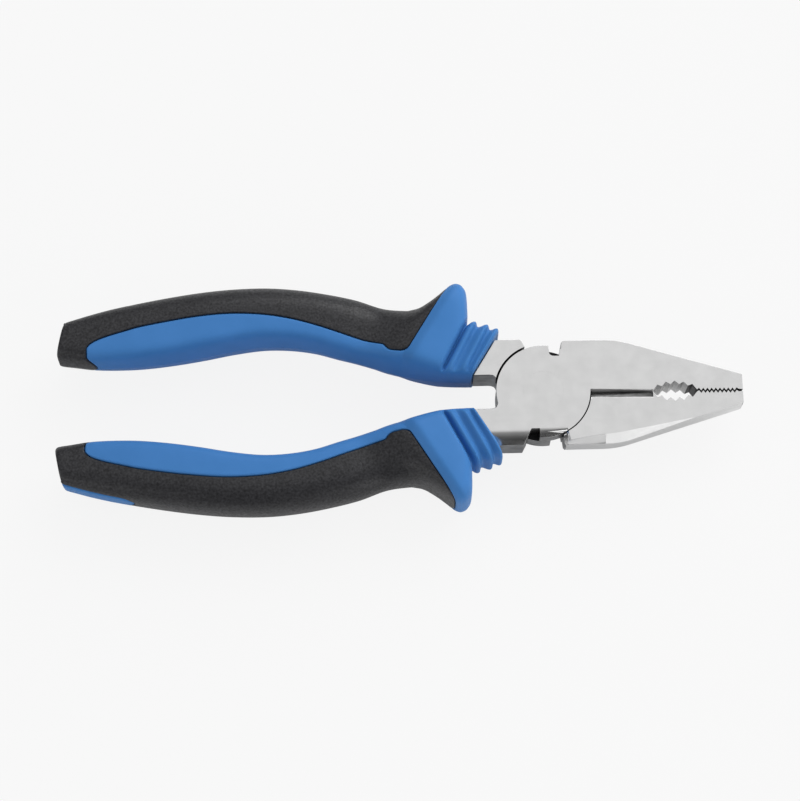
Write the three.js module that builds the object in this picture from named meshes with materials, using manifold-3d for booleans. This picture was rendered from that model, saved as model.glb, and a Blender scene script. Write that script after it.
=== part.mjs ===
// Combination pliers: two forged steel levers lapped on one flush rivet, each with a two-part grip.
// Millimetres, +Z up. The rivet's axis is Z through the origin, the jaws point along +X, and the
// back cheek of the head lies at Z = 0. The pliers are closed.
import * as THREE from 'three';
import { mergeVertices } from 'three/addons/utils/BufferGeometryUtils.js';
import Module from 'manifold-3d';

// Head and lap joint
const headThickness = 10.8; // across the ground cheeks at the joint
const tipThickness = 7.2; // across the cheeks at the jaw tips
const cheekTaperStart = 13; // ahead of the pivot
const hubRadius = 12.2; // half-thick disc of each lever
const hubGap = 0.3; // round each disc, in the other lever's jaw
const shankGap = 0.55; // the same in the other lever's shank
const lapGap = 0.1; // between the two discs
const flankRise = 1.7; // the flanks stand this far outside the disc's rim
const flankRoundRadius = 5.4; // rolled edge of the shank's flank
const flankRoundDrop = 2.1; // how far the rolled edge falls below the cheek
const discRoundRadius = 3.8; // rolled edge of the disc and of the jaw's shoulder
const discRoundStart = 9.4; // where it leaves the cheek, from the jaw line
const discRoundDrop = 1.46;
const discRoundSlope = 1.3; // fall of the shoulder outside it
const flankRoundReach = 0.8; // how far it runs on along the jaw
const flankRoundRunOut = 2.6; // length in which it fades out there
const hubFacets = 72;
const filletSteps = 5;

// Rivet, peened into a countersink on both sides and ground flush
const rivetRadius = 4;
const rivetHeadRadius = 5.2;
const rivetHeadDepth = 1.2;
const rivetClearance = 0.05;

// Jaws
const jawReach = 52; // pivot to the tips
const jawGap = 0.3; // between the closed jaws
const jawDrop = 0.5; // the jaw line lies this far to the lower jaw's side of the pivot
const jawShoulder = 5.2; // corner of the jaw beside the shear notch, ahead of the pivot
const flankBreak = 19.3; // where the flank turns in towards the tip
const flankBreakBlend = 3.5; // length of the curve on each side of that turn
const tipHalfWidth = 4.1;
const tipChamfer = 0.25;
const discSideBevel = 0.6; // width of the flank bevel on the disc's side, seen on the cheek
const bevelAtShoulder = 0.4; // the same on the other side, where it is wide in the middle
const bevelAtBreak = 2.4;
const bevelAtTip = 0.4;
const landAtShoulder = 6; // height of the narrow land between the two flank bevels
const landAtTip = 3.2;

// Cutters, pipe grip and flat grip along the jaw line
const cutterStart = 12.2;
const cutterLength = 16.3;
const cutterHalfWidth = 1.2; // each bevel, seen on the cheek
const cutterDepth = 1.5; // each bevel, below the cheek
const pipeValleys = 5;
const pipePitch = 2.3;
const pipeCrestDepth = 1.65; // the pipe teeth stand back from the jaw line by this much in the middle
const pipeToothHeight = 0.9;
const gripPitch = 1.09;
const gripToothHeight = 0.75;
const gripGap = 0.45; // between the fine teeth
const gripTipFlat = 0.6;

// Wire-shear notches in the rim of each disc
const jawNotchDepth = 2.85;
const jawNotchWidth = 2.65;
const jawNotchSlope = 0.8; // the jaw's shoulder leans forward by this much up to the flank
const shankNotchDepth = 2.2;
const shankNotchStart = 1.25; // behind the pivot
const shankNotchWidth = 2.15;
const shankShoulderSlope = 2.1; // the shank's shoulder leans back by this much out to the flank

// Shank and tang
const shankInner = 4.5; // inner edge of the shank, from the jaw line
const neckInner = 3.9; // inner edge of the grip's neck at its end
const neckBack = 18.7; // inner corner of the neck's end, behind the pivot
const neckLean = THREE.MathUtils.degToRad(32); // slant of the neck's end, guard and ribs
const crotchRound = 2.2; // fillet between shank and disc
const crotchSetIn = 0.5; // the fillet runs into the disc by this much
const tangThickness = 6;
const tangWidth = 8;
const tangEndWidth = 5;
const tangSetIn = 1.6; // the tang starts this far inside the shank
const tangCentre = 6.6; // middle of the tang at the neck's end, across the slant
const tangReach = 0.8; // share of the handle's length that the tang fills
const tangTip = 1.7; // the tang's end is drawn out by this much in the middle
const tangClearance = 0.3;

// Grip: end of the neck, ribs, guard
const handleReach = 125.7; // pivot to the middle of the tail
const neckReach = 12.2; // width of the neck across its slant, beside the guard
const neckSpread = 0.3; // the neck widens by this much for each unit of length towards its end
const neckHalf = 8.2; // half thickness of the neck, in the grooves
const ribCount = 3;
const ribPitch = 3.15;
const ribHeight = 0.9;
const ribStart = 0.8; // first crest, from the neck's end
const neckEndRound = 0.7;
const guardReach = 19.9; // width across the guard's slant
const guardHalf = 11.6; // half thickness at the guard
const guardFront = 9; // front foot of the guard, from the neck's end
const guardLength = 8.5; // front foot to the rear rim
const guardRearFillet = 6.4; // soft slope behind the rim
const neckFlareRadius = 61; // curve of the inner edge away from the jaw line

// Grip: handle and soft cover
const handleSpread = 30.4; // jaw line to the handle's outermost point
const gripHalf = 8.8; // half thickness where the handle is thickest
const coverWall = 2;
const coverGap = 0.3; // between the hard core and the soft cover
const panelInset = 7; // bare panel's rounded end, from the tail
const panelMiddle = 0.3; // furthest point of that end, as a share of the handle's width
const panelRound = 2;
const lobeDepth = 5.3; // soft cover's front lobe, inwards from the neck's slanted frame
const lobeRound = 2.6;
const stripLength = 17.5; // hard tongue that shows on the outer side of the tail
const stripWidth = 5.5;
const sectionSides = 24;
const partingSteps = 10;
const innerPower = 3.4; // squareness of the section on the side of the other handle
const outerPower = 2.5;

// Handle sections from the guard's foot (0) to the tail (1). Shares of the handle's spread: distance
// of the inner and of the outer edge from the jaw line, and slant of the section. Half is a share of
// the grip's half thickness, and split the share of the width where the soft cover parts.
const handleShares = [
  { at: 0.061, inner: 0.33, outer: 0.796, half: 0.807, slant: 0.123, split: 0.32 },
  { at: 0.13, inner: 0.378, outer: 0.877, half: 0.864, slant: 0.09, split: 0.315 },
  { at: 0.211, inner: 0.441, outer: 0.938, half: 0.909, slant: 0.058, split: 0.33 },
  { at: 0.295, inner: 0.477, outer: 0.98, half: 0.943, slant: 0.033, split: 0.375 },
  { at: 0.382, inner: 0.485, outer: 1, half: 0.977, slant: 0.016, split: 0.425 },
  { at: 0.48, inner: 0.454, outer: 0.993, half: 1, slant: 0, split: 0.485 },
  { at: 0.573, inner: 0.405, outer: 0.969, half: 1, slant: 0, split: 0.52 },
  { at: 0.666, inner: 0.362, outer: 0.931, half: 0.955, slant: 0, split: 0.53 },
  { at: 0.758, inner: 0.334, outer: 0.885, half: 0.909, slant: 0, split: 0.515 },
  { at: 0.839, inner: 0.326, outer: 0.84, half: 0.83, slant: 0, split: 0.46 },
  { at: 0.909, inner: 0.331, outer: 0.793, half: 0.75, slant: 0, split: 0.38 },
  { at: 0.964, inner: 0.352, outer: 0.75, half: 0.705, slant: 0.008, split: 0.29 },
  { at: 0.99, inner: 0.372, outer: 0.72, half: 0.659, slant: 0.023, split: 0.2 },
  { at: 1, inner: 0.414, outer: 0.684, half: 0.557, slant: 0.033, split: 0.1 },
];
const handleRows = handleShares.map(({ at, inner, outer, half, slant, split }) => ({
  at,
  inner: inner * handleSpread,
  outer: outer * handleSpread,
  half: half * gripHalf,
  slant: slant * handleSpread,
  split,
}));

// Guard across its slant: from the front foot (0) to the rear rim (1), and down the slope behind it
// to the handle (2). Out is a share of the guard's rise over the neck, thick of its extra thickness.
const guardRows = [
  { along: 0, out: 0.02, thick: 0.1 },
  { along: 0.1, out: 0.22, thick: 0.52 },
  { along: 0.26, out: 0.55, thick: 0.74 },
  { along: 0.46, out: 0.88, thick: 0.87 },
  { along: 0.65, out: 0.98, thick: 1 },
  { along: 0.88, out: 1, thick: 0.91 },
  { along: 1, out: 0.86, thick: 0.84 },
  { along: 1.12, out: 0.45, thick: 0.76 },
  { along: 1.28, out: 0.08, thick: 0.62 },
  { along: 1.56, out: -0.35, thick: 0.4 },
  { along: 2, out: -0.66, thick: 0.08 },
];

const headHalf = headThickness / 2;
const flankHalf = hubRadius + flankRise;
const neckSlope = Math.tan(neckLean);
const pipeStart = cutterStart + cutterLength;
const pipeEnd = pipeStart + pipeValleys * pipePitch;

const wasm = await Module();
wasm.setup();

// Closed geometry as a solid that can be joined and cut.
function solid(geometry) {
  geometry.deleteAttribute('normal');
  geometry.deleteAttribute('uv');
  const welded = mergeVertices(geometry);
  return new wasm.Manifold(new wasm.Mesh({
    numProp: 3,
    vertProperties: new Float32Array(welded.attributes.position.array),
    triVerts: new Uint32Array(welded.index.array),
  }));
}

// Solid as a named mesh.
function piece(name, body, material) {
  const { vertProperties, triVerts } = body.getMesh();
  const geometry = new THREE.BufferGeometry();
  geometry.setAttribute('position', new THREE.BufferAttribute(vertProperties, 3));
  geometry.setIndex(new THREE.BufferAttribute(triVerts, 1));
  geometry.computeVertexNormals();
  const mesh = new THREE.Mesh(geometry, material);
  mesh.name = name;
  return mesh;
}

const point = (x, y) => new THREE.Vector2(x, y);

// Straight prism of a flat outline. The outline's own axes and the prism's length run along the
// given axes, and start and end are measured along the length.
function prism(outline, start, end, [across, up, along]) {
  const shape = new THREE.Shape(outline);
  const geometry = new THREE.ExtrudeGeometry(shape, { depth: end - start, bevelEnabled: false });
  geometry.translate(0, 0, start);
  geometry.applyMatrix4(new THREE.Matrix4().makeBasis(across, up, along));
  return solid(geometry);
}

const axisX = new THREE.Vector3(1, 0, 0);
const axisY = new THREE.Vector3(0, 1, 0);
const axisZ = new THREE.Vector3(0, 0, 1);
const upright = [axisX, axisY, axisZ];
const lengthways = [axisY, axisZ, axisX];
const crossways = [axisZ, axisX, axisY];

// Rings with equal numbers of points, joined in order, with a triangulated cap on each end.
function loft(rings, cap) {
  const count = rings[0].length;
  const faces = [];
  for (let ring = 0; ring + 1 < rings.length; ring += 1) {
    for (let i = 0; i < count; i += 1) {
      const next = (i + 1) % count;
      const here = ring * count;
      const there = here + count;
      faces.push(here + i, here + next, there + next);
      faces.push(here + i, there + next, there + i);
    }
  }
  const last = (rings.length - 1) * count;
  for (const [a, b, c] of cap) {
    faces.push(a, c, b);
    faces.push(last + a, last + b, last + c);
  }
  const geometry = new THREE.BufferGeometry();
  const positions = rings.flat().flatMap(({ x, y, z }) => [x, y, z]);
  geometry.setAttribute('position', new THREE.Float32BufferAttribute(positions, 3));
  geometry.setIndex(faces);
  return solid(geometry);
}

// Disc about the pivot between two heights.
function disc(radius, low, high) {
  const geometry = new THREE.CylinderGeometry(radius, radius, high - low, hubFacets);
  geometry.rotateX(Math.PI / 2);
  geometry.translate(0, 0, (low + high) / 2);
  return solid(geometry);
}

// Rivet with two countersunk heads. The clearance makes the hole that it fills, open at both cheeks.
function rivetShape(clearance) {
  const end = headHalf + clearance;
  const neck = headHalf - rivetHeadDepth;
  const shaft = rivetRadius + clearance;
  const cone = (rivetHeadRadius - rivetRadius) / rivetHeadDepth;
  const head = shaft + (end - neck) * cone;
  const profile = [
    point(0, -end),
    point(head, -end),
    point(shaft, -neck),
    point(shaft, neck),
    point(head, end),
    point(0, end),
  ];
  const geometry = new THREE.LatheGeometry(profile, hubFacets);
  geometry.rotateX(Math.PI / 2);
  return solid(geometry);
}

// Half width of the head at mid-thickness: level beside the joint, then straight to the tip.
function flankAt(x) {
  const slope = (flankHalf - tipHalfWidth) / (jawReach - flankBreak);
  const past = x - flankBreak;
  if (past <= -flankBreakBlend) return flankHalf;
  if (past >= flankBreakBlend) return flankHalf - slope * past;
  return flankHalf - slope * (past + flankBreakBlend) ** 2 / (4 * flankBreakBlend);
}

// Outer edge of the cheek opposite the disc: straight from the shoulder to the flank's turn and on
// to the tip.
function cheekEdgeAt(x) {
  const start = flankHalf - bevelAtShoulder;
  const middle = flankAt(flankBreak) - bevelAtBreak;
  const tip = tipHalfWidth - bevelAtTip;
  if (x < flankBreak) return THREE.MathUtils.mapLinear(x, jawShoulder, flankBreak, start, middle);
  return THREE.MathUtils.mapLinear(x, flankBreak, jawReach, middle, tip);
}

// Half height of the narrow land between the two bevels of the flank.
function landAt(x) {
  return THREE.MathUtils.mapLinear(x, jawShoulder, jawReach, landAtShoulder, landAtTip) / 2;
}

// Biting edge of a jaw, from inside the disc to the tip: cutter, pipe grip, fine teeth.
// The fine teeth of one jaw stand where the other has its valleys.
const closedAt = (toothSide) => jawGap / 2 - toothSide * jawDrop;
function bitingEdge(toothSide) {
  const closed = closedAt(toothSide);
  const edge = [point(jawShoulder, closed), point(pipeStart, closed)];
  const steps = pipeValleys * 2;
  for (let step = 1; step < steps; step += 1) {
    const share = step / steps * 2 - 1;
    const crest = pipeCrestDepth * (1 - share * share);
    const depth = step % 2 ? crest + pipeToothHeight : crest;
    edge.push(point(pipeStart + step * pipePitch / 2, closed + depth));
  }
  edge.push(point(pipeEnd, closed));
  const opened = closed + (gripGap - jawGap) / 2;
  const turns = Math.floor((jawReach - gripTipFlat - pipeEnd) / (gripPitch / 2));
  for (let turn = 1; turn < turns; turn += 1) {
    const side = turn % 2 ? toothSide : -toothSide;
    edge.push(point(pipeEnd + turn * gripPitch / 2, opened + side * gripToothHeight / 2));
  }
  edge.push(point(pipeEnd + turns * gripPitch / 2, opened));
  edge.push(point(jawReach, closed));
  return edge;
}

// Upper jaw between its cheeks, with a bevel on each side of the flank's land: wide opposite the disc.
function jawBlank(toothSide) {
  const biting = bitingEdge(toothSide);
  const stations = [jawReach - tipChamfer];
  for (let share = 1; share >= -1; share -= 0.5) {
    stations.push(flankBreak + share * flankBreakBlend);
  }
  stations.push(jawShoulder + bevelAtShoulder);
  const notchFloor = hubRadius - jawNotchDepth;
  const ring = (level) => {
    const onCheek = Math.abs(level) === 2;
    const heightAt = (x) => Math.sign(level) * (onCheek ? headHalf : landAt(x));
    const flank = (x) => {
      if (!onCheek) return flankAt(x);
      return level > 0 ? flankAt(x) - discSideBevel : cheekEdgeAt(x);
    };
    const outline = [
      ...biting,
      point(jawReach, flank(jawReach) - tipChamfer),
      ...stations.map((x) => point(x, flank(x))),
      point(jawShoulder, flank(jawShoulder) - bevelAtShoulder),
      point(jawShoulder - jawNotchSlope, notchFloor - jawNotchDepth),
    ];
    return outline.map(({ x, y }) => new THREE.Vector3(x, y, heightAt(x)));
  };
  const rings = [-2, -1, 1, 2].map(ring);
  return loft(rings, THREE.ShapeUtils.triangulateShape(rings[0].map(({ x, y }) => point(x, y)), []));
}

// Shank below the jaw line, from the disc to the slanted end where the grip's neck begins.
function shankBlank() {
  const end = neckBack - coverGap / Math.cos(neckLean);
  const floor = hubRadius - shankNotchDepth;
  const shoulder = shankNotchStart + shankNotchWidth;
  const corner = crotchSetIn - hubRadius;
  const crotch = new THREE.QuadraticBezierCurve(
    point(corner - crotchRound, -shankInner),
    point(corner, -shankInner),
    point(corner, -shankInner + crotchRound),
  );
  const outline = [
    point(-shoulder, -floor),
    point(-shoulder, 0),
    point(corner, 0),
    ...crotch.getPoints(filletSteps).reverse(),
    point(-end + (shankInner - neckInner) * neckSlope, -shankInner),
    point(-end + (flankHalf - neckInner) * neckSlope, -flankHalf),
    point(-shoulder - shankShoulderSlope, -flankHalf),
  ];
  return prism(outline, -headHalf, headHalf, upright);
}

// Shear notch beside the jaw's shoulder, with a round inner corner.
function jawNotch() {
  const floor = hubRadius - jawNotchDepth;
  const right = jawShoulder - jawNotchSlope;
  const left = right - jawNotchWidth;
  const corner = new THREE.QuadraticBezierCurve(
    point(left, floor + jawNotchDepth / 2),
    point(left, floor),
    point(left + jawNotchWidth / 2, floor),
  );
  const outline = [
    point(right, floor),
    point(jawShoulder, flankHalf),
    point(left, flankHalf),
    ...corner.getPoints(filletSteps),
  ];
  return prism(outline, -headThickness, headThickness, upright);
}

// Shear notch beside the shank's shoulder.
function shankNotch() {
  const floor = hubRadius - shankNotchDepth;
  const far = shankNotchStart + shankNotchWidth;
  const outline = [
    point(-shankNotchStart, -floor),
    point(-far, -floor),
    point(-far - shankShoulderSlope, -flankHalf),
    point(-shankNotchStart, -flankHalf),
  ];
  return prism(outline, -headThickness, headThickness, upright);
}

// Metal outside a rolled edge, as an outline across the head: the arc leaves the cheek at start, ends
// at the given drop, and runs on outwards with the given fall.
function rolledOutline(start, radius, drop, slope) {
  const full = Math.acos(1 - drop / radius);
  const outline = [];
  for (let step = 0; step <= filletSteps; step += 1) {
    const angle = full * step / filletSteps;
    outline.push(point(start + radius * Math.sin(angle), headHalf - radius * (1 - Math.cos(angle))));
  }
  const far = outline.at(-1).x + flankRise * 2;
  outline.push(point(far, headHalf - drop - flankRise * 2 * slope));
  outline.push(point(far, headThickness));
  outline.push(point(start, headThickness));
  return outline;
}

// Rolled edge beside the joint, on one flank and on the cheek that faces away from it: along the
// shank, and along the disc until it fades out in the jaw.
function rolledEdge(flankSide) {
  const cheekSide = -flankSide;
  const shankRun = Math.sqrt(flankRoundDrop * (2 * flankRoundRadius - flankRoundDrop));
  const onShank = rolledOutline(flankHalf - shankRun, flankRoundRadius, flankRoundDrop, 0);
  const onDisc = rolledOutline(discRoundStart, discRoundRadius, discRoundDrop, discRoundSlope);
  const ring = (outline, x, lift) => outline.map(({ x: y, y: z }) => new THREE.Vector3(
    x,
    flankSide * (y + lift),
    cheekSide * (z + lift),
  )).reverse();
  const join = -shankNotchStart - shankNotchWidth / 2;
  const fade = jawShoulder + flankRoundReach;
  const raised = flankHalf - discRoundStart;
  const lengths = [
    [ring(onShank, -neckBack * 2, 0), ring(onShank, join, 0)],
    [ring(onDisc, join, 0), ring(onDisc, fade, 0), ring(onDisc, fade + flankRoundRunOut, raised)],
  ];
  const [shankRoll, discRoll] = lengths.map((rings) => {
    const flat = rings[0].map(({ y, z }) => point(y, z));
    return loft(rings, THREE.ShapeUtils.triangulateShape(flat, []));
  });
  return shankRoll.add(discRoll);
}

// Wedge that thins the jaws towards the tips, on one cheek.
function cheekTaper(cheekSide) {
  const end = jawReach + headThickness;
  const slope = (headThickness - tipThickness) / 2 / (jawReach - cheekTaperStart);
  const low = headHalf - slope * (end - cheekTaperStart);
  const outline = [
    point(cheekSide * headHalf, cheekTaperStart),
    point(cheekSide * low, end),
    point(cheekSide * headThickness, end),
    point(cheekSide * headThickness, cheekTaperStart),
  ];
  return prism(outline, -flankHalf * 2, flankHalf * 2, crossways);
}

// Ground bevel of the cutter on one cheek.
function cutterBevel(toothSide, cheekSide) {
  const closed = closedAt(toothSide);
  const reach = closed + cutterHalfWidth;
  const outline = [
    point(closed, cheekSide * (headHalf - cutterDepth)),
    point(reach, cheekSide * headHalf),
    point(reach, cheekSide * headThickness),
    point(-reach, cheekSide * headThickness),
    point(-reach, cheekSide * (headHalf - cutterDepth)),
  ];
  return prism(outline, cutterStart, pipeStart, lengthways);
}

// Point in the slanted frame of the neck below the jaw line: back from its end, and out across it.
function neckPoint(back, out) {
  const x = -neckBack - back * Math.cos(neckLean) + out * Math.sin(neckLean);
  const y = -neckInner - back * Math.sin(neckLean) - out * Math.cos(neckLean);
  return point(x, y);
}

// Section of the grip in the slanted neck: the inner edge curves away from the jaw line.
function neckRow(back, reach, half) {
  const flare = back * back / (2 * neckFlareRadius);
  const innerOut = flare / Math.cos(neckLean) - back * neckSlope;
  return { inner: neckPoint(back, innerOut), outer: neckPoint(back, reach), half };
}

// Neck and guard, from the end of the neck backwards: end, ribs and grooves, guard, rear slope.
const rearRim = guardFront + guardLength;
const guardFoot = rearRim + guardRearFillet;
const guardRise = guardReach - neckReach;
const guardSwell = guardHalf - neckHalf;
function neckRows() {
  const reachAt = (back) => neckReach + neckSpread * Math.max(guardFront - back, 0);
  const rows = [neckRow(0, reachAt(0) - neckEndRound, neckHalf)];
  for (let rib = 0; rib < ribCount; rib += 1) {
    const crest = ribStart + rib * ribPitch;
    const groove = crest + ribPitch / 2;
    const lift = rib === 0 ? ribHeight / 2 : ribHeight;
    rows.push(neckRow(crest, reachAt(crest) + lift, neckHalf + lift));
    rows.push(neckRow(groove, reachAt(groove), neckHalf));
  }
  for (const { along, out, thick } of guardRows) {
    const over = guardFront + Math.min(along, 1) * guardLength;
    const behind = Math.max(along - 1, 0) * guardRearFillet;
    rows.push(neckRow(over + behind, neckReach + out * guardRise, neckHalf + thick * guardSwell));
  }
  return rows;
}

// Sections of the handle behind the guard. The inset draws the hard core inside the soft cover.
const footRow = neckRows().at(-1);
const footMiddle = (footRow.inner.x + footRow.outer.x) / 2;
function handleSections(inset) {
  return handleRows.map(({ at, inner, outer, half, slant }) => {
    const tail = -handleReach + inset;
    const x = THREE.MathUtils.lerp(footMiddle, tail, at);
    return {
      inner: point(x - slant, -inner - inset),
      outer: point(x + slant, -outer + inset),
      half: half - inset,
    };
  });
}

// Closed body through a list of sections, squarer on the inner side than on the outer.
function gripLoft(rows, sides) {
  const rings = rows.map(({ inner, outer, half }) => {
    const middle = inner.clone().add(outer).multiplyScalar(0.5);
    const across = outer.clone().sub(middle);
    const ring = [];
    for (let side = 0; side < sides; side += 1) {
      const angle = side / sides * Math.PI * 2;
      const out = Math.cos(angle);
      const up = Math.sin(angle);
      const power = 2 / (out > 0 ? outerPower : innerPower);
      const reach = Math.sign(out) * Math.abs(out) ** power;
      const lift = Math.sign(up) * Math.abs(up) ** power;
      ring.push(new THREE.Vector3(
        middle.x + across.x * reach,
        middle.y + across.y * reach,
        half * lift,
      ));
    }
    return ring;
  });
  const cap = [];
  for (let side = 1; side + 1 < sides; side += 1) {
    cap.push([0, side, side + 1]);
  }
  return loft(rings, cap);
}

// Line on which the soft cover parts from the bare core, from the tail round to the guard's rim.
function partingLine() {
  const panelEnd = -handleReach + panelInset;
  const line = [];
  for (const { at, inner, outer, split, slant } of handleRows) {
    const x = THREE.MathUtils.lerp(footMiddle, -handleReach, at) + slant * (split * 2 - 1);
    if (x > panelEnd + panelInset / 2) line.push(point(x, -inner - (outer - inner) * split));
  }
  const { inner, outer } = handleRows.at(-4);
  const endMiddle = -THREE.MathUtils.lerp(inner, outer, panelMiddle);
  const turn = new THREE.SplineCurve([
    line.at(-1),
    point(panelEnd + panelRound / 2, endMiddle - panelRound),
    point(panelEnd, endMiddle),
    point(panelEnd + panelRound / 3, -inner - panelRound / 2),
    point(panelEnd + panelRound * 1.5, -inner + panelRound * 2),
  ]);
  const corner = lobeRound * (1 - Math.SQRT1_2);
  const lobe = new THREE.SplineCurve([
    neckPoint(rearRim, lobeRound - lobeDepth),
    neckPoint(rearRim + corner, corner - lobeDepth),
    neckPoint(rearRim + lobeRound, -lobeDepth),
    neckPoint(guardFoot, -lobeDepth),
    line[0],
  ]);
  return [
    neckPoint(rearRim, guardReach * 2),
    ...lobe.getPoints(partingSteps),
    ...line.slice(1, -1),
    ...turn.getPoints(partingSteps),
  ];
}

// Line moved sideways, to the right of its direction.
function moved(line, distance) {
  return line.map((here, i) => {
    const before = line[Math.max(i - 1, 0)];
    const after = line[Math.min(i + 1, line.length - 1)];
    const along = after.clone().sub(before).normalize();
    return point(here.x + along.y * distance, here.y - along.x * distance);
  });
}

// Everything on the soft cover's side of the parting line.
function coverSide(gap) {
  const line = moved(partingLine(), -gap);
  const far = handleReach * 2;
  const outside = [point(-far, line.at(-1).y), point(-far, -far), point(line[0].x, -far)];
  return prism([...line, ...outside], -guardHalf * 2, guardHalf * 2, upright);
}

// Tongue of the hard core on the outer side of the tail, with a round front end.
function tailStrip(gap) {
  const [tail, mid] = [handleRows.at(-2), handleRows.at(-6)];
  const tailX = THREE.MathUtils.lerp(footMiddle, -handleReach, tail.at);
  const midX = THREE.MathUtils.lerp(footMiddle, -handleReach, mid.at);
  const along = new THREE.Vector3(midX - tailX, tail.outer - mid.outer, 0).normalize();
  const outwards = new THREE.Vector3(along.y, -along.x, 0);
  const half = stripWidth / 2 + gap;
  const shape = new THREE.Shape();
  shape.moveTo(-stripWidth, -half);
  shape.lineTo(stripLength - half, -half);
  shape.absarc(stripLength - half, 0, half, -Math.PI / 2, Math.PI / 2, false);
  shape.lineTo(-stripWidth, half);
  const depth = { depth: coverWall * 4, bevelEnabled: false, curveSegments: 8 };
  const geometry = new THREE.ExtrudeGeometry(shape, depth);
  geometry.translate(0, 0, -coverWall - coverGap);
  geometry.applyMatrix4(new THREE.Matrix4().makeBasis(along, axisZ, outwards));
  geometry.translate(tailX, -tail.outer, 0);
  return solid(geometry);
}

// Flat bar inside the grip. The clearance makes the pocket that holds it.
function tangBar(clearance) {
  const followed = handleRows.filter(({ at }, i) => i % 2 === 0 && at < tangReach);
  const route = new THREE.SplineCurve([
    neckPoint(-tangSetIn, tangCentre),
    ...followed.map(({ at, inner, outer }) => {
      const x = THREE.MathUtils.lerp(footMiddle, -handleReach, at);
      return point(x, -(inner + outer) / 2);
    }),
  ]);
  const steps = 16;
  const near = [];
  const away = [];
  for (let step = 0; step <= steps; step += 1) {
    const share = step / steps;
    const here = route.getPointAt(share);
    const along = route.getTangentAt(share);
    const half = THREE.MathUtils.lerp(tangWidth, tangEndWidth, share) / 2 + clearance;
    near.push(point(here.x - along.y * half, here.y + along.x * half));
    away.push(point(here.x + along.y * half, here.y - along.x * half));
  }
  const end = route.getPointAt(1).addScaledVector(route.getTangentAt(1), tangTip + clearance);
  const half = tangThickness / 2 + clearance;
  return prism([...near, end, ...away.reverse()], -half, half, upright);
}

// Lever with the upper jaw, the front disc and the lower tang.
function lever(toothSide) {
  const shank = shankBlank().subtract(disc(hubRadius + shankGap, -headThickness, lapGap / 2));
  let body = jawBlank(toothSide).add(shank);
  body = body.subtract(disc(hubRadius + hubGap, -headThickness, lapGap / 2));
  body = body.add(disc(hubRadius, lapGap / 2, headHalf));
  body = body.subtract(jawNotch()).subtract(shankNotch());
  for (const cheekSide of [-1, 1]) {
    body = body.subtract(cheekTaper(cheekSide)).subtract(cutterBevel(toothSide, cheekSide));
    body = body.subtract(rolledEdge(cheekSide));
  }
  return body.add(tangBar(0)).subtract(rivetShape(rivetClearance));
}

const wholeGrip = gripLoft([...neckRows(), ...handleSections(0)], sectionSides);

// Body that the soft cover wraps: it runs on into the guard.
function wrapped(inset) {
  const footReach = neckReach + guardRows.at(-1).out * guardRise;
  const start = neckRow(rearRim - coverWall, neckReach - guardRearFillet, neckHalf - inset);
  const foot = neckRow(guardFoot, footReach - inset, neckHalf - inset);
  start.inner.lerp(start.outer, inset / neckReach);
  foot.inner.lerp(foot.outer, inset / footReach);
  return gripLoft([start, foot, ...handleSections(inset)], sectionSides / 2);
}

// Hard core: bare neck, guard and inner panel, and the body under the soft cover.
function gripCore() {
  const bare = wholeGrip.subtract(coverSide(0));
  const tongue = wholeGrip.intersect(tailStrip(0));
  return bare.add(wrapped(coverWall)).add(tongue).subtract(tangBar(tangClearance));
}

// Soft cover moulded over the outer side and the tail, with a window for the tongue.
function gripCover() {
  const skin = wholeGrip.intersect(coverSide(coverGap));
  return skin.subtract(wrapped(coverWall - coverGap)).subtract(tailStrip(coverGap));
}

const steel = new THREE.MeshStandardMaterial({ color: 0xc4c6c8, roughness: 0.36, metalness: 1 });
const hardBlue = new THREE.MeshStandardMaterial({ color: 0x3f7fc9, roughness: 0.45, metalness: 0 });
const softBlack = new THREE.MeshStandardMaterial({ color: 0x2c2c2f, roughness: 0.75, metalness: 0 });

const lowerHandle = new THREE.Group();
lowerHandle.add(piece('upper_jaw_lever', lever(1), steel));
lowerHandle.add(piece('pivot_rivet', rivetShape(0), steel.clone()));
lowerHandle.add(piece('lower_grip_core', gripCore(), hardBlue));
lowerHandle.add(piece('lower_grip_cover', gripCover(), softBlack));

const upperHandle = new THREE.Group();
upperHandle.add(piece('lower_jaw_lever', lever(-1), steel.clone()));
upperHandle.add(piece('upper_grip_core', gripCore(), hardBlue.clone()));
upperHandle.add(piece('upper_grip_cover', gripCover(), softBlack.clone()));
upperHandle.rotation.x = Math.PI;

const pliers = new THREE.Group();
pliers.add(lowerHandle, upperHandle);
pliers.position.z = headHalf;

export default pliers;
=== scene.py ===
import math

import bmesh
import bpy
from mathutils import Matrix, Vector


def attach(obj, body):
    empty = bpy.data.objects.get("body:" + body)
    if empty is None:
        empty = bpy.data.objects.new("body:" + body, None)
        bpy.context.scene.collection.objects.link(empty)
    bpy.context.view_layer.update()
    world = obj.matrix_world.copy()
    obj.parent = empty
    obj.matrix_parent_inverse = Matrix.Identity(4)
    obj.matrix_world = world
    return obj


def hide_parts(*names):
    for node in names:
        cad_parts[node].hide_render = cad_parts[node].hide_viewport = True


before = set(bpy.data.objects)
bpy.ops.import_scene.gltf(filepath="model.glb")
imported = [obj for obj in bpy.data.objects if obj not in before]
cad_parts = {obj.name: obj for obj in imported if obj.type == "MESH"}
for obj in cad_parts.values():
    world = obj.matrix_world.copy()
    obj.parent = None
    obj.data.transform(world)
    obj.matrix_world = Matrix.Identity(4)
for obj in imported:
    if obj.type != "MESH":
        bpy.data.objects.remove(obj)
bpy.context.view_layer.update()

# The two levers. Each is one drop forging of tool steel, from the jaw through the half-thick disc to
# the tang inside its grip. The cheeks and the jaws' outer faces are ground satin; the crotch, the
# notches and part of the cutters keep the darker skin of the forging.
MM = 0.001
lever_bodies = {"upper_jaw_lever": "upper_jaw_side", "lower_jaw_lever": "lower_jaw_side"}
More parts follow.
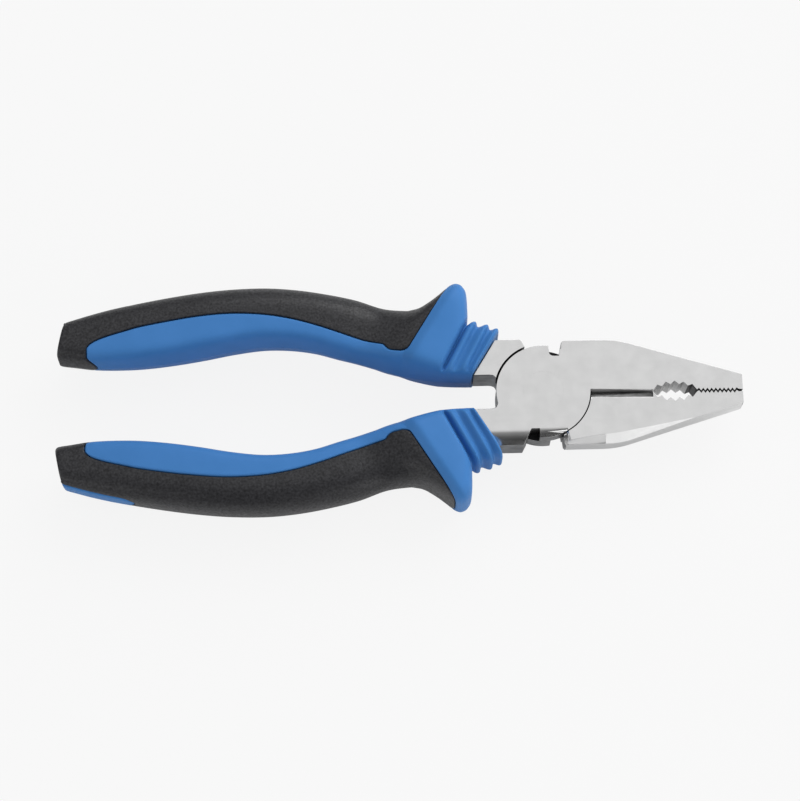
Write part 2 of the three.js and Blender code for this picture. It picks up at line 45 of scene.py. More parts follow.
edge_break = 0.1 * MM
shortest_break = 0.4 * MM
rivet_seat = 5.4 * MM
lap_height = 5.4 * MM
lap_clearance = 0.5 * MM
jaw_shoulder = 6 * MM
bite_reach = 4.2 * MM
pipe_end = 37.2 * MM
cutter_start = 12 * MM
cutter_end = 28.6 * MM
groove_floor = 4.5 * MM
far_lip = 1.2 * MM
own_lip_shift = (0.65 * MM, 0.28 * MM)
far_lip_shift = (0.25 * MM, 0.87 * MM)
bevel_corner = 15.8 * MM
bevel_foot = 13.8 * MM
bevel_lift = 0.17 * MM
crotch_reach = 5.2 * MM
crotch_end = -11 * MM
crotch_round = 0.5 * MM
tooth_reach = 1.2 * MM
tooth_gap = 0.12 * MM
tooth_break = 0.2 * MM
merge_gap = 0.002 * MM
cheek_play = 0.02 * MM
flat_angle = math.radians(0.5)
corner_angle = math.radians(24)
sharp_angle = math.radians(32)
level_face = 0.9
sloping_face = 0.3
steel_cloud_scale = 260
grinding_scale = 900
grinding_strength = 0.06
grinding_depth = 0.01 * MM
noise_low = 0.3
noise_high = 0.7


def start_material(name):
    material = bpy.data.materials.new(name)
    material.use_nodes = True
    nodes = material.node_tree.nodes
    return material, nodes, material.node_tree.links, nodes["Principled BSDF"]


def add_noise(nodes, links, scale, stretch, detail):
    where = nodes.new("ShaderNodeTexCoord")
    turn = nodes.new("ShaderNodeMapping")
    turn.inputs["Scale"].default_value = stretch
    noise = nodes.new("ShaderNodeTexNoise")
    noise.inputs["Scale"].default_value = scale
    noise.inputs["Detail"].default_value = detail
    links.new(where.outputs["Object"], turn.inputs["Vector"])
    links.new(turn.outputs["Vector"], noise.inputs["Vector"])
    return noise.outputs["Fac"]


def add_range(nodes, links, source, low, high):
    spread = nodes.new("ShaderNodeMapRange")
    spread.inputs["From Min"].default_value = noise_low
    spread.inputs["From Max"].default_value = noise_high
    spread.inputs["To Min"].default_value = low
    spread.inputs["To Max"].default_value = high
    links.new(source, spread.inputs["Value"])
    return spread.outputs["Result"]


def add_tone(nodes, links, source, dark, light):
    tone = nodes.new("ShaderNodeMix")
    tone.data_type = "RGBA"
    tone.inputs["A"].default_value = (*dark, 1)
    tone.inputs["B"].default_value = (*light, 1)
    links.new(source, tone.inputs["Factor"])
    return tone.outputs["Result"]


def add_bump(nodes, links, shader, source, strength, depth):
    bump = nodes.new("ShaderNodeBump")
    bump.inputs["Strength"].default_value = strength
    bump.inputs["Distance"].default_value = depth
    links.new(source, bump.inputs["Height"])
    links.new(bump.outputs["Normal"], shader.inputs["Normal"])


def satin_steel(name, dark, light, smooth, rough, stretch):
    """Steel with a faint cloud in its colour and with grinding lines along the tool."""
    material, nodes, links, shader = start_material(name)
    shader.inputs["Metallic"].default_value = 1
    cloud = add_noise(nodes, links, steel_cloud_scale, (1, 1, 1), 3)
    tone = add_range(nodes, links, cloud, 0, 1)
    links.new(add_tone(nodes, links, tone, dark, light), shader.inputs["Base Color"])
    lines = add_noise(nodes, links, grinding_scale, (stretch, 1, 1), 4)
    links.new(add_range(nodes, links, lines, smooth, rough), shader.inputs["Roughness"])
    add_bump(nodes, links, shader, lines, grinding_strength, grinding_depth)
    return material


ground_steel = satin_steel("ground_steel", (0.63, 0.63, 0.63), (0.68, 0.68, 0.68), 0.13, 0.2, 0.12)
forged_steel = satin_steel("forged_steel", (0.09, 0.09, 0.09), (0.26, 0.26, 0.26), 0.28, 0.42, 0.1)
bite_steel = satin_steel("bite_steel", (0.58, 0.58, 0.58), (0.76, 0.76, 0.76), 0.46, 0.58, 0.2)
# Painted shade: a near-black steel for the lap faces between the discs and the walls of the teeth, where the
# closed parts shade each other.
painted_shade_steel = satin_steel("painted_shade_steel", (0.012, 0.012, 0.013), (0.03, 0.03, 0.032), 0.35, 0.5, 0.3)
lever_steels = (ground_steel, forged_steel, bite_steel, painted_shade_steel)
ground, forged, bite, painted_shade = range(len(lever_steels))


def add_piece(name, shape, materials, body, node):
    mesh = bpy.data.meshes.new(name)
    shape.to_mesh(mesh)
    shape.free()
    for material in materials:
        mesh.materials.append(material)
    piece = bpy.data.objects.new(name, mesh)
    bpy.context.scene.collection.objects.link(piece)
    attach(piece, body)
    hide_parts(node)
    return piece


def cad_copy(node):
    shape = bmesh.new()
    shape.from_mesh(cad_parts[node].data)
    bmesh.ops.remove_doubles(shape, verts=shape.verts, dist=merge_gap)
    bmesh.ops.dissolve_limit(shape, angle_limit=flat_angle, verts=shape.verts, edges=shape.edges)
    return shape


def finish_steel(piece):
    piece.data.polygons.foreach_set("use_smooth", [True] * len(piece.data.polygons))
    piece.data.set_sharp_from_angle(angle=sharp_angle)
    even = piece.modifiers.new("even_shading", "WEIGHTED_NORMAL")
    even.keep_sharp = True
    even.weight = 100


def steel_finish(face):
    """Which steel a face shows: ground outside, forged in the crotch, bright in the bite, and near-black
    painted shade on the lap faces between the discs and on the teeth.
    """
    centre, level = face.calc_center_median(), abs(face.normal.z)
    if level > level_face:
        return painted_shade if abs(centre.z - lap_height) < lap_clearance else ground
    if centre.x < jaw_shoulder:
        return ground if level > sloping_face and abs(centre.y) > crotch_reach else forged
    if abs(centre.y) > bite_reach:
        return ground
    if centre.x < cutter_end and face.normal.y * (centre.z - lap_height) > 0:
        return forged
    # the teeth beyond the pipe grip get the near-black painted shade
    return bite if centre.x < pipe_end else painted_shade


def open_teeth(shape, side):
    """Draw the tooth walls back a little, so that the closed jaws keep a dark line between the teeth."""
    teeth = [vert for vert in shape.verts if vert.co.x > pipe_end and abs(vert.co.y) < tooth_reach]
    bmesh.ops.translate(shape, vec=(0, side * tooth_gap, 0), verts=teeth)


def open_cutter(shape, side):
    """Keep the groove over the cutting edges as wide at its outer end as at the hub."""
    for vert in shape.verts:
        rise = vert.co.z - lap_height
        above = math.copysign(vert.co.y, vert.co.y * rise)
        own_lip = side * rise > 0
        on_lip = above > 0 if own_lip else above < -far_lip
        in_groove = cutter_start < vert.co.x < cutter_end and abs(above) < bite_reach / 2
        if on_lip and in_groove and abs(rise) > groove_floor:
            start, end = own_lip_shift if own_lip else far_lip_shift
            along = (vert.co.x - cutter_start) / (cutter_end - cutter_start)
            vert.co.y -= math.copysign(start + (end - start) * along, rise)


def even_bevel(shape):
    """Raise the foot of the jaw's long bevel a little where the taper begins, so that it runs on evenly."""
    for vert in shape.verts:
        rise = vert.co.z - lap_height
        at_corner = abs(vert.co.x - bevel_corner) < edge_break and abs(vert.co.y) > bevel_foot
        if at_corner and abs(rise) < lap_height / 2:
            vert.co.z += math.copysign(bevel_lift, rise)


def round_edges(shape, chosen, size, segments):
    corners = [edge for edge in shape.edges if edge.calc_face_angle(0) > corner_angle and chosen(edge)]
    bmesh.ops.bevel(shape, geom=corners, offset=size, offset_type="OFFSET", segments=segments, profile=0.5,
                    affect="EDGES", clamp_overlap=True, material=-1)


def on_cheek(edge):
    return all(abs(abs(vert.co.z - lap_height) - lap_height) < cheek_play for vert in edge.verts)


def on_teeth(edge):
    in_bite = all(vert.co.x > pipe_end and abs(vert.co.y) < tooth_reach for vert in edge.verts)
    return in_bite and on_cheek(edge)


def on_crotch(edge):
    inside = all(vert.co.x < crotch_end and abs(vert.co.y) < crotch_reach for vert in edge.verts)
    run = edge.verts[0].co - edge.verts[1].co
    return inside and on_cheek(edge) and abs(run.x) > max(abs(run.y), shortest_break)


def on_plain_edge(edge):
    near_rivet = all(vert.co.xy.length < rivet_seat for vert in edge.verts)
    near_bite = any(vert.co.x > pipe_end and abs(vert.co.y) < tooth_reach for vert in edge.verts)
    shortest = min(other.calc_length() for vert in edge.verts for other in vert.link_edges)
    return not near_rivet and not near_bite and shortest > shortest_break


for node, body in lever_bodies.items():
    lever = cad_copy(node)
    side = 1 if node == "upper_jaw_lever" else -1
    open_cutter(lever, side)
    open_teeth(lever, side)
    even_bevel(lever)
    round_edges(lever, on_teeth, tooth_break, 1)
    round_edges(lever, on_crotch, crotch_round, 3)
    round_edges(lever, on_plain_edge, edge_break, 2)
    for face in lever.faces:
        face.material_index = steel_finish(face)
    finish_steel(add_piece(node + "_steel", lever, lever_steels, body, node))

# The pivot. One steel rivet through both discs, swaged into a countersink on each side and ground
# flush with the cheeks, so that only its faint outline is left.
rivet_fill = 1.008
rivet = cad_copy("pivot_rivet")
bmesh.ops.scale(rivet, vec=(rivet_fill, rivet_fill, 1), verts=rivet.verts)
finish_steel(add_piece("pivot_rivet_steel", rivet, (ground_steel,), "upper_jaw_side", "pivot_rivet"))

# The grips' outer form. Each is lofted through slanted sections: a ribbed neck that carries on the
# shank, a finger guard, and a handle that bows outwards and back in to a blunt tail.
mid_height = 5.4
neck_inner = 3.9
neck_back = 18.7
neck_lean = math.radians(32)
flare_radius = 61
neck_reach = 12.2
neck_spread = 0.3
neck_half = 8.0
end_round_out = 1.5
end_round_out_run = 1.4
end_round_up = 0.9
end_round_up_run = 0.8
rib_start = 0.4
rib_fall = 0.62
rib_pitch = 3.15
rib_height = 1.15
rib_runout = 0.03
rib_runout_width = 0.1
ribs_end = 12.9
guard_front = 9
rear_rim = 17.5
guard_foot = 23.9
neck_handover = 21.5
foot_middle = -39.58
handle_reach = 126
handle_length = handle_reach + foot_middle
# Each row of these tables starts with the place along the grip. The guard: reach across, half height.
guard_keys = [
    (7.5, 13.2, 8.75), (7.8, 12.8, 8.1), (8.05, 12.4, 7.3), (8.2, 12.3, 7.05), (8.4, 12.4, 7.5),
    (8.65, 12.9, 8.9), (8.9, 13.5, 9.85), (9.2, 14.1, 10.3), (10.1, 15.5, 10.65), (11.2, 17.2, 10.9),
    (12.9, 19.4, 11.25), (14.4, 20.15, 11.55), (15.0, 20.25, 11.6), (15.6, 20.2, 11.45),
    (16.4, 20.0, 11.05), (17.1, 19.3, 10.65), (17.5, 18.6, 10.4), (17.75, 17.8, 10.2),
    (18.4, 15.9, 10.1), (19.3, 13.6, 9.95), (21.1, 10.3, 9.4), (23.9, 7.9, 8.45),
]
# How far the inner end of a section leads its outer end, and the half height beside the inner crest.
lean_keys = [
    (0, 0), (1, 0.4), (2.2, 0.9), (3.5, 1.15), (5, 1.2), (9.5, 1.2), (12, 0.8), (15, 0.1), (16, 0), (24, 0),
]
crest_keys = [(0, 8.5), (5, 9.2), (10.3, 10.5), (12.9, 11.2), (15, 11.6)]
# The handle, by share of its length: inner edge, outer edge, half height, slant of the section.
handle_keys = [
    (0.061, 10.03, 24.2, 7.1, 3.75), (0.13, 11.5, 26.65, 7.6, 2.75), (0.211, 13.4, 28.5, 8.0, 1.75),
    (0.295, 14.5, 29.8, 8.3, 1.0), (0.382, 14.75, 30.4, 8.6, 0.5), (0.48, 13.8, 30.2, 8.8, 0),
    (0.573, 12.3, 29.45, 8.8, 0), (0.666, 11.0, 28.3, 8.4, 0), (0.758, 10.15, 26.9, 8.0, 0),
    (0.839, 9.9, 25.55, 7.3, 0), (0.909, 10.05, 24.1, 6.6, 0), (0.964, 10.7, 22.8, 6.2, 0.25),
    (0.985, 10.95, 22.35, 6.05, 0.6), (0.996, 11.25, 21.95, 5.8, 0.85), (1, 11.9, 21.3, 5.3, 1.0),
]
# Squareness of the outer side; then the inner crest's place, the inner edge's height and crispness.
outer_round_keys = [
    (0, 3.6), (9, 4), (15, 4.5), (18, 3.6), (guard_foot, 2.6), (60, 2.5), (95, 3.0), (111, 3.0),
]
inner_crest_keys = [
    (0, 0.88, 0.5, 9), (9, 0.84, 0.35, 10), (15.2, 0.78, 0.2, 12), (18, 0.73, 0.2, 10), (20.5, 0.72, 0.2, 8),
    (29, 0.76, 0.25, 9), (60, 0.8, 0.3, 9), (95, 0.8, 0.35, 8), (111, 0.75, 0.3, 4),
]
# The parting line: across the neck behind the guard, then as a share of the handle's width.
lobe_keys = [
    (0, 3), (15, 0.5), (17, -1.6), (17.5, -2.4), (17.9, -3.2), (18.4, -3.75), (19, -4.15), (19.8, -4.45),
    (20.6, -4.8), (21.4, -5.05), (22.2, -5.1), (22.9, -4.95), (23.4, -4.75), (23.9, -4.52),
]
split_keys = [
    (23.9, 0.282), (25, 0.284), (26, 0.285), (27.5, 0.286), (29.2, 0.288), (35.1, 0.297), (42.1, 0.322),
    (49.4, 0.372), (56.9, 0.425), (65.2, 0.485), (73.2, 0.52), (81.2, 0.53), (89.1, 0.515), (96.1, 0.46),
    (99.2, 0.42), (101.2, 0.375), (102.4, 0.32), (103, 0.26), (106, 0.24), (111, 0.24),
]


def smooth_value(keys, at, column):
    """Value of one column of a table of keys, on a smooth curve through them."""
    last = len(keys) - 1
    span = 0
    while span < last - 1 and keys[span + 1][0] < at:
        span += 1
    at = min(max(at, keys[0][0]), keys[last][0])

    def slope(i):
        before, after = max(i - 1, 0), min(i + 1, last)
        return (keys[after][column] - keys[before][column]) / (keys[after][0] - keys[before][0])

    a, b = keys[span], keys[span + 1]
    width = b[0] - a[0]
    t = (at - a[0]) / width
    return ((2 * t**3 - 3 * t**2 + 1) * a[column] + (t**3 - 2 * t**2 + t) * width * slope(span)
            + (3 * t**2 - 2 * t**3) * b[column] + (t**3 - t**2) * width * slope(span + 1))


def neck_point(back, out):
    return Vector((-neck_back - back * math.cos(neck_lean) + out * math.sin(neck_lean),
                   -neck_inner - back * math.sin(neck_lean) - out * math.cos(neck_lean)))


def neck_spans(back):
    """Inner edge, outer edge and half height of a slanted section through the neck or the guard."""
    inner = back**2 / (2 * flare_radius) / math.cos(neck_lean) - back * math.tan(neck_lean)
    if back < guard_keys[0][0]:
        turn = (back - rib_start) / rib_pitch % 1
        turn = turn / rib_fall if turn < rib_fall else (1 - turn) / (1 - rib_fall)
        lift = rib_height * (0.5 + 0.5 * math.cos(turn * math.pi))
        reach = neck_reach + neck_spread * max(guard_front - back, 0) + lift
        reach -= end_round_out * max(0, 1 - back / end_round_out_run) ** 2
        return inner, reach, neck_half + lift - end_round_up * max(0, 1 - back / end_round_up_run) ** 2
    return inner, smooth_value(guard_keys, back, 1), smooth_value(guard_keys, back, 2)


def neck_section(back):
    """The section's edges; the ribs and the guard's front lean less than the neck's end."""
    reach, half = neck_spans(back)[1:]
    ahead = back - smooth_value(lean_keys, back, 1)
    return [*neck_point(ahead, neck_spans(ahead)[0]), *neck_point(back, reach), half]


section_keys = [(back, *neck_section(back)) for back in (20.5, neck_handover, 22.7, guard_foot)]
for at, inner, outer, half, slant in handle_keys:
    middle = foot_middle - at * handle_length
    place = guard_foot + at * handle_length
    section_keys.append((place, middle - slant, -inner, middle + slant, -outer, half))


def section_shape(station):
    """Sizes of a section: its two edges, its half height, its outer rounding and its inner crest."""
    if station <= neck_handover:
        edges = neck_section(station)
    else:
        edges = [smooth_value(section_keys, station, column) for column in range(1, 6)]
    crest, edge, crisp = (smooth_value(inner_crest_keys, station, column) for column in (1, 2, 3))
    depth = (1 - edge) * crest + 1 - crest
    plain = smooth_value(crest_keys, station, 1) if station < ribs_end else edges[4]
    outer_round = smooth_value(outer_round_keys, station, 1)
    return (*edges, outer_round, (1 - edge) / depth, (1 - crest) / depth, crisp, plain)


def section_spot(shape, angle):
    """Share of the width and of the half height: angle 0 is the outer edge, half a turn the inner one."""
    outer_round, slope_in, slope_up, crisp = shape[5:9]
    out, up = math.cos(angle), math.sin(angle)
    if out >= 0:
        square = 2 / outer_round
        return out**square, math.copysign(abs(up) ** square, up)
    inward, rise = -out, abs(up)
    size = (inward**crisp + rise**crisp + (slope_in * inward + slope_up * rise) ** crisp) ** (1 / crisp)
    reach = inward / size * (1 + slope_in**crisp) ** (1 / crisp)
    return -reach, math.copysign(rise / size * (1 + slope_up**crisp) ** (1 / crisp), up)


def skin_point(shape, spot):
    """Point of the skin; the ribs and the groove run out before the inner crest."""
    share = (1 + spot[0]) / 2
    ribbed = min(max((share - rib_runout) / rib_runout_width, 0), 1)
    half = shape[9] + (shape[4] - shape[9]) * ribbed * ribbed * (3 - 2 * ribbed)
    return Vector((shape[0] + (shape[2] - shape[0]) * share, shape[1] + (shape[3] - shape[1]) * share,
                   half * spot[1]))


def parting_share(station):
    """Where across the width the blue gives way to the black."""
    if station >= guard_foot:
        return smooth_value(split_keys, station, 1)
    inner, reach = neck_spans(station)[:2]
    return (smooth_value(lobe_keys, station, 1) - inner) / (reach - inner)


def even_steps(start, end, step):
    count = max(1, round((end - start) / step))
    return [start + (end - start) * (i + 1) / count for i in range(count)]


neck_end_stations = [0, 0.06, 0.14, 0.25, 0.4]
rib_step = 0.25
lobe_step = 0.32
handle_step = 1
panel_end = 103
panel_curve = panel_end - 6
panel_step = 0.5
tail = guard_foot + handle_length
tail_round = 1.2
tail_step = 0.6
tail_round_stations = [tail - 0.85, tail - 0.55, tail - 0.3, tail - 0.12, tail]
stations = neck_end_stations + even_steps(neck_end_stations[-1], rear_rim, rib_step)
front_ring = len(stations) - 1
stations += even_steps(rear_rim, guard_foot, lobe_step) + even_steps(guard_foot, panel_curve, handle_step)
stations += even_steps(panel_curve, panel_end, panel_step)
panel_ring = len(stations) - 1
stations += even_steps(panel_end, tail - tail_round, tail_step) + tail_round_stations

side_steps, strip_steps, panel_steps = 24, 10, 40
ring_size = side_steps * 2 + strip_steps + panel_steps
trace_steps = 480
strip_half = 3.4
strip_start = 90.7
strip_nose = 0.15
strip_lead = 4
strip_squeeze, strip_release = 0.33, 0.67
strip_ring = min(range(len(stations)), key=lambda i: abs(stations[i] - strip_start))
end_slant = 2.2
end_slant_run = 5
inner_face, inner_face_width = 0.72, 0.28
least_slide = 0.001


def ring_angles(station):
    """Angles of a ring's points, evenly spaced along the skin between the parting lines and the tongue."""
    shape = section_shape(station)
    spots = [section_spot(shape, math.pi * 2 * i / trace_steps) for i in range(trace_steps + 1)]
    trace = [skin_point(shape, spot) for spot in spots]
    run = [0]
    for here, there in zip(trace, trace[1:]):
        run.append(run[-1] + (there - here).length)

    def angle_at(length):
        low = max(i for i in range(trace_steps) if run[i] <= length + 1e-9)
        return (low + (length - run[low]) / (run[low + 1] - run[low])) * math.pi * 2 / trace_steps

    split = 2 * parting_share(station) - 1
    after = min(i for i in range(1, trace_steps // 2 + 1) if spots[i][0] <= split)
    step = (spots[after - 1][0] - split) / (spots[after - 1][0] - spots[after][0])
    part = run[after - 1] + step * (run[after] - run[after - 1])
    ahead = station - stations[strip_ring]
    half = strip_half
    if 0 <= ahead < strip_half:
        half = math.sqrt(strip_half**2 - (strip_half - ahead - strip_nose) ** 2)
    elif -strip_lead < ahead < 0:
        half = strip_half * (strip_squeeze + strip_release * ahead / -strip_lead)
    whole = run[-1]
    marks = [0, half, part, whole - part, whole - half, whole]
    counts = [strip_steps // 2, side_steps, panel_steps, side_steps, strip_steps // 2]
    angles = []
    for start, end, count in zip(marks, marks[1:], counts):
        angles += [angle_at(start + (end - start) * i / count) for i in range(count)]
    return angles


def ring_points(station):
    """Points of a ring; near the panel's end the inner face lags behind, so that the parting line slants."""
    near_end = math.exp(-(((station - panel_end) / end_slant_run) ** 2))
    shape = section_shape(station)
    points = []
    for angle in ring_angles(station):
        slide = end_slant * near_end * max(0, -math.cos(angle) - inner_face) / inner_face_width
        here = section_shape(station - slide) if slide > least_slide else shape
        points.append(skin_point(here, section_spot(here, angle)) * MM)
    return points


grip_rings = [ring_points(station) for station in stations]


def place_ring(ring, points):
    for vert, point in zip(ring, points):
        vert.co = point


def ring_edges(shape, ring):
    return [shape.edges.get((a, b)) for a, b in zip(ring, ring[1:] + ring[:1])]


def grip_form():
    """Closed skin of a grip, with the faces that the soft cover takes."""
    shape = bmesh.new()
    ring = bmesh.ops.create_circle(shape, segments=ring_size, radius=MM)["verts"]
    place_ring(ring, grip_rings[0])
    bmesh.ops.edgeloop_fill(shape, edges=ring_edges(shape, ring))
    strip_columns = set(range(strip_steps // 2)) | set(range(ring_size - strip_steps // 2, ring_size))
    first_panel = strip_steps // 2 + side_steps
    panel_columns = set(range(first_panel, first_panel + panel_steps))
    cover_faces = []
    for number in range(1, len(stations)):
        made = bmesh.ops.extrude_edge_only(shape, edges=ring_edges(shape, ring))["geom"]
        fresh = {item for item in made if isinstance(item, bmesh.types.BMVert)}
        partner = {}
        for vert in fresh:
            for edge in vert.link_edges:
                partner[edge.other_vert(vert)] = vert
        old, ring = ring, [partner[vert] for vert in ring]
        place_ring(ring, grip_rings[number])
        if number <= front_ring:
            continue
        for column in range(ring_size):
            in_panel = column in panel_columns and number <= panel_ring
            in_strip = column in strip_columns and number > strip_ring
            if not in_panel and not in_strip:
                edge = shape.edges.get((old[column], ring[column]))
                other = shape.edges.get((old[(column + 1) % ring_size], ring[(column + 1) % ring_size]))
                cover_faces += [face for face in edge.link_faces if face in other.link_faces]
    cover_faces += bmesh.ops.edgeloop_fill(shape, edges=ring_edges(shape, ring))["faces"]
    bmesh.ops.recalc_face_normals(shape, faces=shape.faces)
    bmesh.ops.translate(shape, vec=(0, 0, mid_height * MM), verts=shape.verts)
    return shape, cover_faces


def turn_over(shape):
    """Half a turn about the long axis, from the lower handle to the upper."""
    centre = Vector((0, 0, mid_height * MM))
    bmesh.ops.rotate(shape, cent=centre, matrix=Matrix.Rotation(math.pi, 3, "X"), verts=shape.verts)


def finish_moulding(piece):
    piece.data.polygons.foreach_set("use_smooth", [True] * len(piece.data.polygons))
    soft = piece.modifiers.new("soft_edges", "SUBSURF")
    soft.levels = 1
    soft.render_levels = 1


grip_bodies = {"lower": "upper_jaw_side", "upper": "lower_jaw_side"}

# The grips' hard cores. Satin blue plastic moulded round the tang in the first shot: the ribbed neck,
# the guard, the bare panel on the inner side and a tongue at the tail stay in sight.
bed_depth = 1.2 * MM
bed_edge = 0.1 * MM
deep_blue, light_blue = (0.054, 0.195, 0.485), (0.06, 0.208, 0.515)
blue_cloud_scale = 140
blue_grain_scale = 2600
blue_grain_depth = 0.03 * MM


def satin_blue():
    material, nodes, links, shader = start_material("satin_blue")
    cloud = add_noise(nodes, links, blue_cloud_scale, (1, 1, 1), 2)
    tone = add_range(nodes, links, cloud, 0, 1)
    links.new(add_tone(nodes, links, tone, deep_blue, light_blue), shader.inputs["Base Color"])
    shader.inputs["IOR"].default_value = 1.17
    grain = add_noise(nodes, links, blue_grain_scale, (1, 1, 1), 3)
    links.new(add_range(nodes, links, grain, 0.36, 0.46), shader.inputs["Roughness"])
    add_bump(nodes, links, shader, grain, 0.15, blue_grain_depth)
    return material


blue_plastic = satin_blue()
for side, body in grip_bodies.items():
    core, bed = grip_form()
    bmesh.ops.inset_region(core, faces=bed, thickness=bed_edge, depth=-bed_depth, use_boundary=True)
    if side == "upper":
        turn_over(core)
    finish_moulding(add_piece(side + "_grip_blue", core, (blue_plastic,), body, side + "_grip_core"))

# The grips' soft covers. Black, finely grained soft plastic moulded over the core in the second shot:
# the outer side, a lobe behind the guard and the tail, with a slot round the tongue.
cover_gap = 0.08 * MM
cover_round = 0.3 * MM
cover_wall = 0.9 * MM
deep_black, light_black = (0.007, 0.007, 0.0085), (0.038, 0.038, 0.042)
black_grain_scale = 1700
black_grain_depth = 0.08 * MM


def grained_black():
    material, nodes, links, shader = start_material("grained_black")
    grain = add_noise(nodes, links, black_grain_scale, (1, 1, 1), 4)
    tone = add_range(nodes, links, grain, 0, 1)
    links.new(add_tone(nodes, links, tone, deep_black, light_black), shader.inputs["Base Color"])
    shader.inputs["IOR"].default_value = 1.37
    links.new(add_range(nodes, links, grain, 0.48, 0.32), shader.inputs["Roughness"])
    add_bump(nodes, links, shader, grain, 0.7, black_grain_depth)
    return material


black_plastic = grained_black()
for side, body in grip_bodies.items():
    cover, kept = grip_form()
    wanted = set(kept)
    bmesh.ops.delete(cover, geom=[face for face in cover.faces if face not in wanted], context="FACES")
    gap = bmesh.ops.inset_region(cover, faces=cover.faces, thickness=cover_gap, use_boundary=True,
                                 use_even_offset=True)["faces"]
    bmesh.ops.delete(cover, geom=gap, context="FACES")
    bmesh.ops.inset_region(cover, faces=cover.faces, thickness=cover_round, use_boundary=True,
                           use_even_offset=True)
    cover.normal_update()
    for vert in [vert for vert in cover.verts if vert.is_boundary]:
        vert.co -= vert.normal * cover_round
    if side == "upper":
        turn_over(cover)
    piece = add_piece(side + "_grip_black", cover, (black_plastic,), body, side + "_grip_cover")
    wall = piece.modifiers.new("wall", "SOLIDIFY")
    wall.thickness = cover_wall
    wall.offset = -1
    finish_moulding(piece)

# The studio: a pale floor under the tool, one large soft lamp behind on the right, three weaker ones
# in front, a sky that is bright overhead, and a camera that looks down at the photograph's angle.
floor_height = -6.3 * MM
floor_half = 4
floor_tone = (0.85, 0.85, 0.85, 1)
paper_tone = (0.95, 0.95, 0.95, 1)
paper_by_eye = 0.92
paper_in_metal = 0.25
sky_lean = 0.5
sky_spread = 0.6
sky_middle = 0.35
sky_levels = [(0.4, 0.04), (0.945, 0.95), (0.62, 0.12), (0.855, 0.32)]
floor_shape = bmesh.new()
bmesh.ops.create_grid(floor_shape, x_segments=1, y_segments=1, size=floor_half)
bmesh.ops.translate(floor_shape, vec=(0, 0, floor_height), verts=floor_shape.verts)
floor_mesh = bpy.data.meshes.new("floor")
floor_shape.to_mesh(floor_mesh)
floor_shape.free()
floor = bpy.data.objects.new("floor", floor_mesh)
bpy.context.scene.collection.objects.link(floor)
floor_material, nodes, links, shader = start_material("pale_floor")
shader.inputs["Base Color"].default_value = floor_tone
shader.inputs["Roughness"].default_value = 0.9
paper = nodes.new("ShaderNodeEmission")
paper.inputs["Color"].default_value = paper_tone
ray = nodes.new("ShaderNodeLightPath")
by_eye = nodes.new("ShaderNodeMath")
by_eye.operation = "MULTIPLY"
by_eye.inputs[1].default_value = paper_by_eye
links.new(ray.outputs["Is Camera Ray"], by_eye.inputs[0])
in_metal = nodes.new("ShaderNodeMath")
in_metal.operation = "MULTIPLY_ADD"
in_metal.inputs[1].default_value = paper_in_metal
links.new(ray.outputs["Is Glossy Ray"], in_metal.inputs[0])
links.new(by_eye.outputs[0], in_metal.inputs[2])
blend = nodes.new("ShaderNodeMixShader")
links.new(in_metal.outputs[0], blend.inputs["Fac"])
links.new(shader.outputs["BSDF"], blend.inputs[1])
links.new(paper.outputs["Emission"], blend.inputs[2])
links.new(blend.outputs["Shader"], nodes["Material Output"].inputs["Surface"])
floor_mesh.materials.append(floor_material)

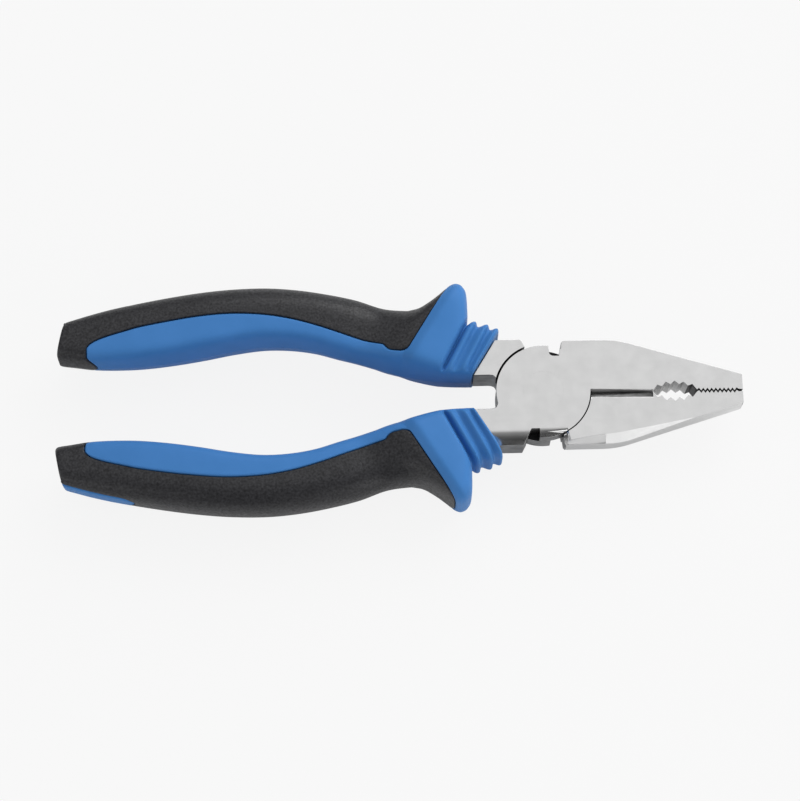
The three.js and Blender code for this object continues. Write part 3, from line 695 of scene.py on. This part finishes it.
world = bpy.data.worlds.new("studio")
world.use_nodes = True
bpy.context.scene.world = world
nodes, links = world.node_tree.nodes, world.node_tree.links
where = nodes.new("ShaderNodeTexCoord")
split = nodes.new("ShaderNodeSeparateXYZ")
links.new(where.outputs["Generated"], split.inputs["Vector"])
tilt = nodes.new("ShaderNodeMath")
tilt.operation = "MULTIPLY_ADD"
tilt.inputs[1].default_value = sky_lean
links.new(split.outputs["Y"], tilt.inputs[0])
links.new(split.outputs["Z"], tilt.inputs[2])
height = nodes.new("ShaderNodeMath")
height.operation = "MULTIPLY_ADD"
height.inputs[1].default_value = sky_spread
height.inputs[2].default_value = sky_middle
links.new(tilt.outputs[0], height.inputs[0])
sky = nodes.new("ShaderNodeValToRGB")
stops = sky.color_ramp.elements
for stop, (place, level) in zip(list(stops), sky_levels):
    stop.position = place
    stop.color = (level, level, level, 1)
for place, level in sky_levels[2:]:
    stops.new(place).color = (level, level, level, 1)
links.new(height.outputs[0], sky.inputs["Fac"])
links.new(sky.outputs["Color"], nodes["Background"].inputs["Color"])
nodes["Background"].inputs["Strength"].default_value = 1


def add_softbox(name, place, aim, width, height, power):
    lamp = bpy.data.lights.new(name, "AREA")
    lamp.shape = "RECTANGLE"
    lamp.size = width
    lamp.size_y = height
    lamp.energy = power
    box = bpy.data.objects.new(name, lamp)
    box.location = place
    box.rotation_euler = (Vector(aim) - Vector(place)).to_track_quat("-Z", "Y").to_euler()
    bpy.context.scene.collection.objects.link(box)


add_softbox("key_softbox", (0.8, 1.0, 0.85), (-0.04, 0, 0), 1.7, 1.15, 19)
add_softbox("left_softbox", (-0.9, -0.6, 0.45), (-0.05, 0, 0), 1.2, 0.8, 4.2)
add_softbox("right_softbox", (0.85, -0.6, 0.45), (-0.05, 0, 0), 1.2, 0.8, 4.2)
add_softbox("front_softbox", (0.375, -0.55, 0.17), (0.375, 0, 0.17), 0.6, 0.35, 0.75)

view_rise = math.radians(75)
view_roll = math.radians(1.25)
view_distance = 0.6
aim = Vector((-37.25, -0.37, mid_height)) * MM
photo_scale = 3822
photo_width = 800
across = Vector((1, 0, 0))
upwards = Vector((0, math.sin(view_rise), math.cos(view_rise)))
towards = Vector((0, -math.cos(view_rise), math.sin(view_rise)))
lens = bpy.data.cameras.new("photo_camera")
lens.sensor_fit = "HORIZONTAL"
lens.sensor_width = 36
lens.lens = photo_scale * view_distance * lens.sensor_width / photo_width
lens.clip_start = 0.01
camera = bpy.data.objects.new("photo_camera", lens)
bpy.context.scene.collection.objects.link(camera)
turned = Matrix((
    across * math.cos(view_roll) - upwards * math.sin(view_roll),
    across * math.sin(view_roll) + upwards * math.cos(view_roll),
    towards,
)).transposed()
camera.matrix_world = Matrix.Translation(aim + towards * view_distance) @ turned.to_4x4()
bpy.context.scene.camera = camera
bpy.context.scene.view_settings.view_transform = "Standard"
